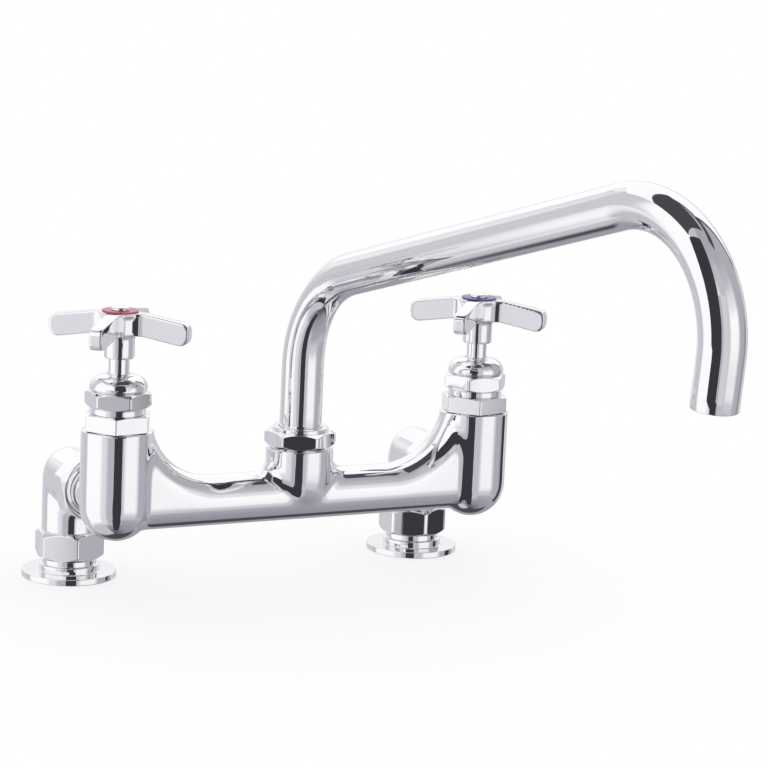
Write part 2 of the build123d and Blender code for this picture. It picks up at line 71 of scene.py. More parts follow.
def add(tree, kind, inputs=None, **settings):
    """Adds a node with its settings; an input gets a value, or a link when it is given a socket."""
    node = tree.nodes.new(kind)
    for key, value in settings.items():
        setattr(node, key, value)
    for key, value in (inputs or {}).items():
        if isinstance(value, bpy.types.NodeSocket):
            tree.links.new(value, node.inputs[key])
        else:
            node.inputs[key].default_value = value
    return node


def noise(tree, place, size, detail, roughness=0.5):
    """Clouds of about that size, in metres."""
    return add(tree, "ShaderNodeTexNoise", {
        "Vector": place, "Scale": 1 / size, "Detail": detail, "Roughness": roughness,
    }).outputs["Fac"]


def mixed(tree, share, one, other):
    """Goes from one colour to the other; 6, 7 and 2 are the colour sockets of the Mix node."""
    return add(tree, "ShaderNodeMix", {"Factor": share, 6: one, 7: other}, data_type="RGBA").outputs[2]


def new_material(name):
    """A material whose node tree is still empty."""
    material = bpy.data.materials.new(name)
    material.use_nodes = True
    material.node_tree.nodes.clear()
    return material, material.node_tree


def polished_chrome():
    """Bright chromium on buffed brass: a cool mirror, with the faint waves that the buffing wheel leaves
    and a few dull patches from wiping, which only soften the reflections a little."""
    material, tree = new_material("polished_chrome_plate")
    place = add(tree, "ShaderNodeTexCoord").outputs["Object"]
    waves = noise(tree, place, 0.011, detail=1.0, roughness=0.4)
    grain = noise(tree, place, 0.0009, detail=2.0)
    wiped = noise(tree, place, 0.028, detail=3.0, roughness=0.6)
    buffed = add(tree, "ShaderNodeBump", {"Height": waves, "Strength": 0.35, "Distance": 0.00004})
    fine = add(tree, "ShaderNodeBump", {
        "Height": grain, "Strength": 0.04, "Distance": 0.00001, "Normal": buffed.outputs["Normal"],
    })
    dull = add(tree, "ShaderNodeMapRange", {
        "Value": wiped, "From Min": 0.45, "From Max": 0.75, "To Min": 0.028, "To Max": 0.06,
    })
    plate = add(tree, "ShaderNodeBsdfPrincipled", {
        "Base Color": mixed(tree, wiped, linear("#f0f0f1"), linear("#ebebed")), "Metallic": 1.0,
        "Roughness": dull.outputs["Result"], "Normal": fine.outputs["Normal"],
    })
    add(tree, "ShaderNodeOutputMaterial", {"Surface": plate.outputs["BSDF"]})
    return material


CHROME = polished_chrome()


def move(mesh, way, points=None):
    """Shifts points, or all of a mesh."""
    bmesh.ops.translate(mesh, vec=way, verts=mesh.verts if points is None else points)


def rotate(mesh, angle, axis, points=None):
    """Turns points, or all of a mesh, about an axis through the origin."""
    bmesh.ops.rotate(mesh, cent=(0, 0, 0), matrix=Matrix.Rotation(math.radians(angle), 3, axis),
                     verts=mesh.verts if points is None else points)


def rounded(mesh, parts, size, segments=3, affect="EDGES"):
    """Rounds off edges, or the corners of a profile."""
    return bmesh.ops.bevel(mesh, geom=parts, offset=size, offset_type="OFFSET", segments=segments,
                           profile=0.5, affect=affect, clamp_overlap=True, material=-1)


def turned(mesh, corners, rounding=0.0, steps=96, closed=True):
    """Spins a profile of (radius, height) corners about Z; its corners are first rounded off."""
    points = [mesh.verts.new((radius, 0, height)) for radius, height in corners]
    lines = [mesh.edges.new(pair) for pair in zip(points, points[1:])]
    if closed:
        lines.append(mesh.edges.new((points[-1], points[0])))
    if rounding:
        sharp = [p for p in points if len(p.link_edges) == 2 and p.co.x > rounding]
        made = rounded(mesh, sharp, rounding, affect="VERTICES")
        points = [p for p in points if p.is_valid] + made["verts"]
        lines = list({line for p in points for line in p.link_edges})
    bmesh.ops.spin(mesh, geom=list(set(points)) + lines, cent=(0, 0, 0), axis=(0, 0, 1),
                   angle=2 * math.pi, steps=steps, use_merge=True)
    bmesh.ops.remove_doubles(mesh, verts=mesh.verts, dist=0.001)
    return mesh


def placed(name, mesh, material):
    """Turns a mesh in millimetres into an object in metres."""
    bmesh.ops.scale(mesh, vec=(0.001, 0.001, 0.001), verts=mesh.verts)
    data = bpy.data.meshes.new(name)
    mesh.to_mesh(data)
    mesh.free()
    data.materials.append(material)
    made = bpy.data.objects.new(name, data)
    bpy.context.scene.collection.objects.link(made)
    return made


def finish_piece(name, mesh, body, node, material=CHROME, crisp=False):
    """Makes a smooth-shaded piece that rides on a body and stands for a node of the CAD part."""
    bmesh.ops.recalc_face_normals(mesh, faces=mesh.faces)
    for face in mesh.faces:
        face.smooth = True
    piece = placed(name, mesh, material)
    if crisp:
        even = piece.modifiers.new("flat_faces_stay_flat", "WEIGHTED_NORMAL")
        even.weight = 100
    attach(piece, body)
    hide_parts(node)
    return piece


for side, x in INLETS.items():
    foot = turned(bmesh.new(), [
        (SOCKET_RADIUS, 0), (FLANGE_RADIUS, 0), (FLANGE_RADIUS, FLANGE_TOP),
        (SHOULDER_RADIUS, FLANGE_TOP), (SHOULDER_RADIUS, SHOULDER_TOP), (COLLAR_RADIUS, SHOULDER_TOP),
        (COLLAR_RADIUS, LOWER_NUT_FOOT), (UNION_THREAD, LOWER_NUT_FOOT), (UNION_THREAD, INLET_TOP),
        (INLET_BORE, INLET_TOP), (INLET_BORE, SOCKET_DEPTH), (SOCKET_RADIUS, SOCKET_DEPTH),
    ], rounding=0.45, steps=144)
    move(foot, (x, 0, 0))
    finish_piece(f"{side}_flange_chrome", foot, "faucet_body", f"{side}_inlet_flange", crisp=True)


# Union nuts
# Each elbow is held by two brass nuts, turned from hexagon bar, that run on its neck behind a snap
# ring. The ends are turned off at an angle and all the edges are softened by polishing before plating.

UNION_FLATS = 33.0
UNION_LENGTH = 15.0
UNION_HOLE = 13.3            # over the thread
UNION_NECK_HOLE = 10.7       # in the lip that holds the elbow
UNION_LIP = 3.0
UNION_AXIS = 54.5            # height of the rear nuts
REAR_NUT_DEPTH = 36.1        # from the supply's axis forward to the rear nut's thread
UNION_WEAR = {"hot": 1.2, "cold": 2.7}         # how far polishing has rounded the corners
UNION_CHAMFER = {"hot": 42, "cold": 36}
LOWER_TURN = {"hot": 24, "cold": 28}
REAR_TURN = {"hot": 20, "cold": 19}
FLAT_STEPS = 12              # faces along a flat of a hexagon
CORNER_STEPS = 5             # faces round a corner
CROWDING = 0.8               # under 1 the faces of a flat get narrower towards its corners
TURNED_FACE = 0.97           # turned end face of a hexagon, as a share of its flats


def hexagon_ring(mesh, flats, corner_round, height, crown):
    """One closed ring with the outline of a hexagon whose corners are rounded; the first corner is on +X.
    The flats are crowned a little, as polishing leaves them."""
    apothem = flats / 2
    centre = (apothem - corner_round) / math.cos(math.radians(30))
    half_flat = (apothem - corner_round) * math.tan(math.radians(30))
    per_side = FLAT_STEPS + CORNER_STEPS
    ring = bmesh.ops.create_circle(mesh, segments=6 * per_side, radius=apothem, cap_ends=False)["verts"]
    for number, point in enumerate(ring):
        face, step = divmod(number, per_side)
        if step < CORNER_STEPS:
            angle = math.radians(60 * face - 30 + 60 * step / CORNER_STEPS)
            middle = math.radians(60 * face)
            point.co = (centre * math.cos(middle) + corner_round * math.cos(angle),
                        centre * math.sin(middle) + corner_round * math.sin(angle), height)
        else:
            along = -1 + 2 * (step - CORNER_STEPS) / FLAT_STEPS
            along = math.copysign(abs(along) ** CROWDING, along)
            middle = math.radians(60 * face + 30)
            out = apothem + crown * (1 - along * along)
            point.co = (out * math.cos(middle) - along * half_flat * math.sin(middle),
                        out * math.sin(middle) + along * half_flat * math.cos(middle), height)
    return ring


def points_of(parts):
    """The points among what a mesh operator made."""
    return [part for part in parts if isinstance(part, bmesh.types.BMVert)]


def ring_edges(points):
    """The edges that join a ring's points to each other."""
    inside = set(points)
    touching = {line for point in points for line in point.link_edges}
    return [line for line in touching if all(end in inside for end in line.verts)]


def next_ring(mesh, points, radius=None, height=None):
    """Extrudes a ring and shapes the copy into a circle of that radius at that height."""
    copied = points_of(bmesh.ops.extrude_edge_only(mesh, edges=ring_edges(points))["geom"])
    for point in copied:
        if radius is not None:
            flat = Vector((point.co.x, point.co.y, 0)).normalized() * radius
            point.co.x, point.co.y = flat.x, flat.y
        if height is not None:
            point.co.z = height
    return copied


def hexagon_nut(mesh, flats, low, high, turn, chamfer, corner_round, holes, lip=None,
                both=True, edge=0.3, crown=0.12):
    """A bored hexagon nut: the wall, then at each end the cone that turning leaves, the face and the hole.
    Where the two holes differ, a lip at the upper end is left between them."""
    face = TURNED_FACE * flats / 2
    slope = math.tan(math.radians(chamfer))
    ring = hexagon_ring(mesh, flats, corner_round, low, crown)
    rings = []
    for height, away in ((low, 1), (high, -1)):
        wall = ring if height == low else next_ring(mesh, ring, height=high)
        if height == high or both:
            for point in wall:
                point.co.z = height + away * slope * max(0.0, math.hypot(point.co.x, point.co.y) - face)
        rings.append(wall)
    for wall, height in zip(rings[:2], (low, high)):
        rings.append(next_ring(mesh, wall, radius=face, height=height))
    lower_mouth = next_ring(mesh, rings[2], radius=holes[0], height=low)
    upper_mouth = next_ring(mesh, rings[3], radius=holes[1], height=high)
    if lip is not None:
        step = next_ring(mesh, lower_mouth, height=high - lip)
        lower_mouth = next_ring(mesh, step, radius=holes[1])
    bmesh.ops.bridge_loops(mesh, edges=ring_edges(lower_mouth) + ring_edges(upper_mouth))
    rounded(mesh, [line for ring in rings for line in ring_edges(ring)], edge)
    rotate(mesh, turn, "Z")
    return mesh


for side, x in INLETS.items():
    for level, turn in (("lower", LOWER_TURN[side]), ("rear", REAR_TURN[side])):
        nut = hexagon_nut(bmesh.new(), UNION_FLATS, 0, UNION_LENGTH, turn, UNION_CHAMFER[side],
                          UNION_WEAR[side], (UNION_HOLE, UNION_NECK_HOLE), lip=UNION_LIP, edge=0.4)
        if level == "rear":
            rotate(nut, -90, "X")
            move(nut, (x, -REAR_NUT_DEPTH, UNION_AXIS))
        else:
            move(nut, (x, 0, LOWER_NUT_FOOT))
        finish_piece(f"{side}_{level}_nut_chrome", nut, "faucet_body", f"{side}_{level}_nut", crisp=True)


# Elbows
# A cast elbow between the two nuts of each side: two straight legs that meet in a ball-shaped corner,
# polished all over, with a reduced neck at both ends that hangs in its nut.

ELBOW_RADIUS = 15.0
ELBOW_FILLET = 4.0           # how far the inward corner is filled
BLANK_FOOT = 14.0            # the legs are first drawn longer than they end up
BLANK_FRONT = 32.0
NUT_PLAY = 0.02              # between a nut and the shoulder that it hangs on
NECK_STEP = 4.5              # from the leg's radius in to the neck's
NECK_LENGTH = 6.0


def rod(mesh, radius, start, end, steps=96):
    """A closed round bar between two points."""
    start, end = Vector(start), Vector(end)
    way = end - start
    made = bmesh.ops.create_cone(mesh, cap_ends=True, segments=steps, radius1=radius, radius2=radius,
                                 depth=way.length)
    place = Matrix.Translation((start + end) / 2) @ way.to_track_quat("Z", "Y").to_matrix().to_4x4()
    bmesh.ops.transform(mesh, matrix=place, verts=made["verts"])


def ball(mesh, radius, centre):
    """A round end for a bar or for the corner of two."""
    made = bmesh.ops.create_uvsphere(mesh, u_segments=96, v_segments=48, radius=radius)["verts"]
    move(mesh, centre, made)


def remeshed(mesh, voxel):
    """The outer skin of the joined solids, rebuilt in even little squares."""
    data = bpy.data.meshes.new("blank")
    mesh.to_mesh(data)
    mesh.free()
    blank = bpy.data.objects.new("blank", data)
    bpy.context.scene.collection.objects.link(blank)
    skin = blank.modifiers.new("skin", "REMESH")
    skin.mode = "VOXEL"
    skin.voxel_size = voxel
    skin.adaptivity = 0.0
    result = bmesh.new()
    result.from_mesh(blank.evaluated_get(bpy.context.evaluated_depsgraph_get()).to_mesh())
    bpy.data.objects.remove(blank)
    bpy.data.meshes.remove(data)
    return result


def grown(mesh, depth_at, share):
    """Moves the skin out, or in, by a share of the depth wanted at each place."""
    mesh.normal_update()
    for point in mesh.verts:
        point.co += point.normal * share * depth_at(point.co)
    return mesh


def filleted(mesh, voxel, depth_at, steps=4, smooth=6):
    """Fills the inward corners round: the skin is moved out and then back in, in small steps."""
    mesh = remeshed(mesh, voxel)
    for share in [1 / steps] * steps + [-1 / steps] * steps:
        mesh = remeshed(grown(mesh, depth_at, share), voxel)
    for _ in range(smooth):
        bmesh.ops.smooth_vert(mesh, verts=mesh.verts, factor=0.5,
                              use_axis_x=True, use_axis_y=True, use_axis_z=True)
    return mesh


def cut_off(mesh, parts, place, outward, reach=0.05):
    """Cuts away all that lies beyond a plane and closes the cut with one face."""
    cut = bmesh.ops.bisect_plane(mesh, geom=parts, dist=reach, plane_co=place, plane_no=outward,
                                 clear_outer=True)["geom_cut"]
    rim = [part for part in cut if isinstance(part, bmesh.types.BMEdge)]
    return bmesh.ops.contextual_create(mesh, geom=rim)["faces"]


LOWER_SHOULDER = LOWER_NUT_FOOT + UNION_LENGTH + NUT_PLAY
REAR_SHOULDER = REAR_NUT_DEPTH - UNION_LENGTH - NUT_PLAY
for side, x in INLETS.items():
    bend = bmesh.new()
    corner = (0, 0, UNION_AXIS)
    rod(bend, ELBOW_RADIUS, (0, 0, BLANK_FOOT), corner)
    rod(bend, ELBOW_RADIUS, (0, -BLANK_FRONT, UNION_AXIS), corner)
    ball(bend, ELBOW_RADIUS, corner)
    bend = filleted(bend, voxel=0.7, depth_at=lambda place: ELBOW_FILLET)
    for end, outward in (((0, 0, LOWER_SHOULDER), Vector((0, 0, -1))),
                         ((0, -REAR_SHOULDER, UNION_AXIS), Vector((0, -1, 0)))):
        lid = cut_off(bend, bend.verts[:] + bend.edges[:] + bend.faces[:], end, outward)
        bmesh.ops.inset_region(bend, faces=lid, thickness=NECK_STEP, depth=0, use_even_offset=True)
        neck = bmesh.ops.extrude_face_region(bend, geom=lid)["geom"]
        move(bend, outward * NECK_LENGTH, points_of(neck))
        bmesh.ops.delete(bend, geom=lid, context="FACES_ONLY")
    move(bend, (x, 0, 0))
    finish_piece(f"{side}_elbow_chrome", bend, "faucet_body", f"{side}_elbow")


# Bridge body
# One brass casting: two round-bottomed valve posts, the mixing tube between them that sweeps up into
# each post, and the spout boss in the middle. It is ground and buffed, so all the corners flow.

VALVE_X = INLET_SPACING / 2
VALVE_Y = -66.7
POST_RADIUS = 18.5
POST_BALL = 53.5             # height at which the round end begins
POST_TOP = 92.8
TUBE_RADIUS = 13.3
TUBE_AXIS = 53.0
STUB_LENGTH = 38.2           # of the threaded stub behind each post
SWEEP_INBOARD = 51.7         # from the post's axis to the middle of the sweep's arc
SWEEP_HEIGHT = 100.3
SWEEP_DROP = 44.0            # the section's lower half is let down, so that it fills the corner
SWEEP_ANGLE = 92
BOSS_TOP = 78.5
BOSS_RADIUS = 17.7
BOSS_REACH = 22.0            # all of the boss lies nearer than this to the middle
BOSS_BORE = 8.0
BOSS_THREAD = 13.2
BOSS_THREAD_LENGTH = 4.9
BOSS_FOOT = [(0, 49.0), (9.5, 49.0), (13.6, 51.0), (15.6, 54.0), (16.8, 58.0), (17.4, 62.0),
             (BOSS_RADIUS, 67.0)]
OVERLENGTH = 10.0            # what is drawn above a flat end before it is cut off
SMALL_FILLET = 2.4           # below FILLET_LOW
LARGE_FILLET = 6.0           # above FILLET_HIGH
FILLET_LOW = 42.0
FILLET_HIGH = 68.0


def cut_flat(mesh, height, edge, inside=lambda place: True):
    """Cuts the skin level at a height and gives the new rim a small rounded edge."""
    parts = [point for point in mesh.verts if inside(point.co)]
    parts += [part for group in (mesh.edges, mesh.faces) for part in group
              if all(inside(v.co) for v in part.verts)]
    lid = cut_off(mesh, parts, (0, 0, height - edge), (0, 0, 1))
    turns = (15, 45, 75)
    chord = 2 * math.sin(math.radians(90 / len(turns) / 2)) * edge
    for turn_in in turns:
        angle = math.radians(turn_in)
        bmesh.ops.inset_region(mesh, faces=lid, thickness=chord * math.sin(angle),
                               depth=chord * math.cos(angle), use_even_offset=True)


def sweep_up(mesh, x, inboard):
    """The quarter ring that joins the tube to a post: a tall section, spun round the sweep's arc."""
    arc_x = x + SWEEP_INBOARD * inboard
    section = bmesh.ops.create_circle(mesh, segments=64, radius=TUBE_RADIUS, cap_ends=True)["verts"]
    rotate(mesh, 90, "Y", section)
    move(mesh, (arc_x, 0, TUBE_AXIS), section)
    move(mesh, (0, 0, -SWEEP_DROP), [v for v in section if v.co.z < TUBE_AXIS - 0.01])
    flat = [f for f in mesh.faces if all(v in section for v in f.verts)]
    others = set(mesh.verts) - set(section)
    bmesh.ops.spin(mesh, geom=flat + ring_edges(section) + section, cent=(arc_x, 0, SWEEP_HEIGHT),
                   axis=(0, inboard, 0), angle=math.radians(SWEEP_ANGLE), steps=48, use_merge=False)
    for place, outward in (((x, 0, 0), (-inboard, 0, 0)), ((0, 0, TUBE_AXIS - 2), (0, 0, -1))):
        swept = set(mesh.verts) - others
        parts = list(swept)
        parts += [e for e in mesh.edges if all(v in swept for v in e.verts)]
        parts += [f for f in mesh.faces if all(v in swept for v in f.verts)]
        cut_off(mesh, parts, place, outward, reach=0.001)


def body_fillet(place):
    """Large at the sweeps and the boss, small under the tube where the round ends meet it."""
    share = min(1.0, max(0.0, (place.z - FILLET_LOW) / (FILLET_HIGH - FILLET_LOW)))
    return SMALL_FILLET + (LARGE_FILLET - SMALL_FILLET) * share * share * (3 - 2 * share)


body = bmesh.new()
rod(body, TUBE_RADIUS, (-VALVE_X, 0, TUBE_AXIS), (VALVE_X, 0, TUBE_AXIS))
turned(body, BOSS_FOOT + [(BOSS_RADIUS, BOSS_TOP + OVERLENGTH), (0, BOSS_TOP + OVERLENGTH)], closed=False)
for inboard in (1, -1):
    x = -VALVE_X * inboard
    rod(body, POST_RADIUS, (x, 0, TUBE_AXIS), (x, 0, POST_TOP + OVERLENGTH))
    ball(body, POST_RADIUS, (x, 0, POST_BALL))
    rod(body, UNION_THREAD, (x, 0, UNION_AXIS), (x, STUB_LENGTH, UNION_AXIS))
    sweep_up(body, x, inboard)
body = filleted(body, voxel=0.8, depth_at=body_fillet)
cut_flat(body, POST_TOP, edge=0.5)
cut_flat(body, BOSS_TOP, edge=0.5, inside=lambda place: abs(place.x) < BOSS_REACH)
turned(body, [
    (BOSS_BORE, BOSS_TOP - 2), (BOSS_THREAD, BOSS_TOP - 2), (BOSS_THREAD, BOSS_TOP + BOSS_THREAD_LENGTH),
    (BOSS_BORE, BOSS_TOP + BOSS_THREAD_LENGTH),
], rounding=0.4)
move(body, (0, VALVE_Y, 0))
finish_piece("bridge_body_chrome", body, "faucet_body", "bridge_body")


# Bonnets
# A brass screwed cap on each post, with a sharp-edged hexagon and a round collar above it, on which
# the packing nut turns. Its barrel reaches down into the post and guides the valve.

VALVES = {"hot": (-VALVE_X, VALVE_Y, 0), "cold": (VALVE_X, VALVE_Y, 0)}
BONNET_FLATS = 31.75
BONNET_GAP = 0.35            # the gasket's, between post and hexagon
BONNET_TOP = 101.6
BONNET_TURN = {"hot": 7.0, "cold": 13.2}
BONNET_COLLAR = 14.2
PACKING_NUT_FOOT = 104.6     # which is the collar's top
PACKING_THREAD = 11.4
BARREL_RADIUS = 12.9
BARREL_FOOT = 78.8
BARREL_TOP = 94.0
CORE_RADIUS = 13.0           # from there up, hidden in the hexagon
CORE_TOP = 101.5
GUIDE_RADIUS = 8.6           # the holder slides in it
GUIDE_TOP = 88.8
SCREW_BORE = 6.6             # of the stem's lifting screw
SCREW_TOP = 99.2
PACKING_BORE = 8.2
PACKING_TOP = 112.0

for side, place in VALVES.items():
    cap = hexagon_nut(bmesh.new(), BONNET_FLATS, POST_TOP + BONNET_GAP, BONNET_TOP, BONNET_TURN[side],
                      chamfer=12, corner_round=1.0, holes=(12.0, 12.0), both=False, crown=0.05)
    turned(cap, [
        (GUIDE_RADIUS, BARREL_FOOT), (BARREL_RADIUS, BARREL_FOOT), (BARREL_RADIUS, BARREL_TOP),
        (CORE_RADIUS, CORE_TOP), (BONNET_COLLAR, CORE_TOP), (BONNET_COLLAR, PACKING_NUT_FOOT),
        (PACKING_THREAD, PACKING_NUT_FOOT), (PACKING_THREAD, PACKING_TOP), (PACKING_BORE, PACKING_TOP),
        (PACKING_BORE, SCREW_TOP), (SCREW_BORE, SCREW_TOP), (SCREW_BORE, GUIDE_TOP),
        (GUIDE_RADIUS, GUIDE_TOP),
    ], rounding=0.3)
    move(cap, place)
    finish_piece(f"{side}_bonnet_chrome", cap, "faucet_body", f"{side}_bonnet", crisp=True)


# Packing nuts
# Each squeezes the packing round the stem. The lower half is a hexagon with softly rounded corners,
# the upper half a polished dome that ends in a small flat where the stem comes out.

PACKING_FLATS = 30.0
PACKING_HEX_TOP = 113.2
PACKING_TURN = {"hot": 31.4, "cold": 51.6}
STEM_HOLE = 5.45
DOME_RADIUS = 14.9
DOME_BELT = 114.6            # height at which the dome is widest
DOME_REACH = 8.3             # width and height of the quarter ellipse above the belt
DOME_RISE = 7.0
BELLY_REACH = 4.0            # and of the one below it
BELLY_DROP = 1.6
DOME_FOOT = (14.0, 113.0)    # radius and height, as in the next three
DOME_INSIDE = (STEM_HOLE, 111.0)
DOME_FLAT = (6.2, 121.8)
DOME_LIP = (STEM_HOLE, 121.4)

for side, place in VALVES.items():
    nut = hexagon_nut(bmesh.new(), PACKING_FLATS, PACKING_NUT_FOOT, PACKING_HEX_TOP, PACKING_TURN[side],
                      chamfer=32, corner_round=1.4, holes=(11.5, 11.5))
    dome = [DOME_INSIDE, DOME_FOOT]
    for angle in range(-30, 91, 5):
        reach, rise = (DOME_REACH, DOME_RISE) if angle > 0 else (BELLY_REACH, BELLY_DROP)
        turn = math.radians(angle)
        dome.append((DOME_RADIUS - reach + reach * math.cos(turn), DOME_BELT + rise * math.sin(turn)))
    dome += [DOME_FLAT, DOME_LIP]
    turned(nut, dome, steps=144)
    move(nut, place)
    finish_piece(f"{side}_packing_nut_chrome", nut, "faucet_body", f"{side}_packing_nut", crisp=True)


# Stems
# Turned brass, plated where it shows between the dome and the handle. Below are the coarse lifting
# screw and the foot in the washer holder, above is the square end that the handle sits on.

STEM_RADIUS = 5.3
STEM_SHOULDER = 137.0        # the handle rests on it
SQUARE_RADIUS = 4.1
STEM_TOP = 151.6
LIFT_RADIUS = 6.5            # the lifting screw
LIFT_FOOT = 89.2
LIFT_TOP = 95.6
FOOT_RADIUS = 4.4
FOOT_BOTTOM = 83.8
CLIP_GROOVE = 3.6            # radius; the holder's clip sits in it
CLIP_LOW = 86.0
CLIP_HIGH = 87.1

for side, place in VALVES.items():
    stem = turned(bmesh.new(), [
        (0, FOOT_BOTTOM), (FOOT_RADIUS, FOOT_BOTTOM), (FOOT_RADIUS, CLIP_LOW), (CLIP_GROOVE, CLIP_LOW),
        (CLIP_GROOVE, CLIP_HIGH), (FOOT_RADIUS, CLIP_HIGH), (FOOT_RADIUS, LIFT_FOOT),
        (LIFT_RADIUS, LIFT_FOOT), (LIFT_RADIUS, LIFT_TOP), (STEM_RADIUS, LIFT_TOP),
        (STEM_RADIUS, STEM_SHOULDER), (SQUARE_RADIUS, STEM_SHOULDER), (SQUARE_RADIUS, STEM_TOP),
        (0, STEM_TOP),
    ], closed=False)
    move(stem, place)
    finish_piece(f"{side}_stem_chrome", stem, f"{side}_stem_group", f"{side}_stem", crisp=True)


# Handles
# Four-arm cross handles, cast in brass and polished: flat-sided arms that droop and thicken a little
# towards their rounded tips, a round head between them and a short neck over the stem.

HANDLE_LOW = 129.6
HANDLE_HIGH = 153.4
HANDLE_TURN = {"hot": 50.1, "cold": 46.9}
ARM_HALF = 3.5               # half of an arm's thickness
ARM_ROOT = 13.6              # from here an arm droops
ARM_REACH = 37.15
ARM_BOTTOM = 141.7           # of an arm's level part
TIP_TOP = 149.8
TIP_BOTTOM = 137.7
TIP_ROUND = 3.6              # of the tip's upper corner
TIP_BELLY = 5.8              # of its lower one
ARM_BLEND = 10.0             # radius of the concave corner between two arms
HANDLE_FILLET = 1.0          # where the arms and the disc meet the neck
NECK_RADIUS = 7.8
DISC_RADIUS = 10.4
DISC_FOOT = 150.0            # here the neck begins to widen to the disc
DISC_EDGE = 152.2


def prism(mesh, outline, way):
    """Fills a closed outline and draws it out."""
    lid = [mesh.faces.new([mesh.verts.new(point) for point in outline])]
    drawn = bmesh.ops.extrude_face_region(mesh, geom=lid)["geom"]
    move(mesh, way, points_of(drawn))


def handle_quarter(mesh):
    """One arm along +X, and the wide concave corner between it and the next one."""
    arm = [(0, HANDLE_HIGH), (ARM_ROOT, HANDLE_HIGH), (ARM_REACH, TIP_TOP), (ARM_REACH, TIP_BOTTOM),
           (ARM_ROOT, ARM_BOTTOM), (0, ARM_BOTTOM)]
    prism(mesh, [(along, -ARM_HALF, height) for along, height in arm], (0, 2 * ARM_HALF, 0))
    for level, rounding in ((TIP_TOP, TIP_ROUND), (TIP_BOTTOM, TIP_BELLY)):
        tip = [e for e in mesh.edges
               if all(v.co.x > ARM_REACH - 0.1 and abs(v.co.z - level) < 0.01 for v in e.verts)]
        rounded(mesh, tip, rounding, segments=12)
    middle = ARM_HALF + ARM_BLEND
    corner = [(0, 0), (middle, 0)]
    for step in range(13):
        angle = math.radians(270 - 90 * step / 12)
        corner.append((middle + ARM_BLEND * math.cos(angle), middle + ARM_BLEND * math.sin(angle)))
    corner.append((0, middle))
    prism(mesh, [(along, aside, ARM_BOTTOM) for along, aside in corner], (0, 0, HANDLE_HIGH - ARM_BOTTOM))


for side, place in VALVES.items():
    cross = bmesh.new()
    for quarter in range(4):
        before = set(cross.verts)
        handle_quarter(cross)
        rotate(cross, 90 * quarter, "Z", [v for v in cross.verts if v not in before])
    turned(cross, [
        (0, HANDLE_LOW), (NECK_RADIUS, HANDLE_LOW), (NECK_RADIUS, DISC_FOOT), (DISC_RADIUS, DISC_EDGE),
        (DISC_RADIUS, HANDLE_HIGH), (0, HANDLE_HIGH),
    ], closed=False)
    bmesh.ops.recalc_face_normals(cross, faces=cross.faces)
    cross = filleted(cross, voxel=0.36, depth_at=lambda place: HANDLE_FILLET, steps=1, smooth=16)
    rotate(cross, HANDLE_TURN[side], "Z")
    move(cross, place)
    finish_piece(f"{side}_handle_chrome", cross, f"{side}_stem_group", f"{side}_handle")


# Index rings
# A thin coloured disc under the head of each handle screw, red for hot and blue for cold: cast
# acrylic with a moulded gloss.

INDEX_BORE = 2.7
INDEX_RADIUS = 9.3
INDEX_FOOT = 152.6
INDEX_TOP = 154.2


def index_acrylic(name, code, deep):
    """Glossy coloured acrylic whose colour deepens in soft clouds."""
    material, tree = new_material(name)
    place = add(tree, "ShaderNodeTexCoord").outputs["Object"]
    cloud = noise(tree, place, 0.003, detail=2.0)
    skin = add(tree, "ShaderNodeBump", {"Height": cloud, "Strength": 0.1, "Distance": 0.00005})
    plastic = add(tree, "ShaderNodeBsdfPrincipled", {
        "Base Color": mixed(tree, cloud, linear(code), linear(deep)), "Roughness": 0.22, "IOR": 1.49,
        "Normal": skin.outputs["Normal"],
    })
    add(tree, "ShaderNodeOutputMaterial", {"Surface": plastic.outputs["BSDF"]})
    return material


INDEX = {"hot": (index_acrylic("red_acrylic", "#b24a60", "#9a3d54"), "red_index"),
         "cold": (index_acrylic("blue_acrylic", "#4b4a8a", "#3a3a74"), "blue_index")}
for side, place in VALVES.items():
    ring = turned(bmesh.new(), [
        (INDEX_BORE, INDEX_FOOT), (INDEX_RADIUS, INDEX_FOOT), (INDEX_RADIUS, INDEX_TOP),
        (INDEX_BORE, INDEX_TOP),
    ], rounding=0.3)
    move(ring, place)
    acrylic, slot = INDEX[side]
    finish_piece(f"{side}_index", ring, f"{side}_stem_group", f"{side}_index_ring", material=acrylic,
                 crisp=True)


# Handle screws
# A plated dome-headed screw through the middle of each disc pulls the handle down on the stem.

SHANK_RADIUS = 2.4
SHANK_FOOT = 142.2
HEAD_RADIUS = 4.7
HEAD_EDGE = 154.5            # height at which the dome of the head begins
HEAD_RISE = 2.1

for side, place in VALVES.items():
    head = [(0, SHANK_FOOT), (SHANK_RADIUS, SHANK_FOOT), (SHANK_RADIUS, INDEX_TOP),
            (HEAD_RADIUS, INDEX_TOP)]
    for angle in range(0, 90, 9):
        turn = math.radians(angle)
        head.append((HEAD_RADIUS * math.cos(turn), HEAD_EDGE + HEAD_RISE * math.sin(turn)))
    head.append((0, HEAD_EDGE + HEAD_RISE))
    screw = turned(bmesh.new(), head, closed=False, steps=64)
    move(screw, place)
    finish_piece(f"{side}_screw_chrome", screw, f"{side}_stem_group", f"{side}_handle_screw", crisp=True)


# Spout
# Drawn brass tube of 22 mm, bent twice on a mandrel, which leaves each bend a little oval. It stands
# in the boss on O-rings, and turns. The open end is cut square and deburred.

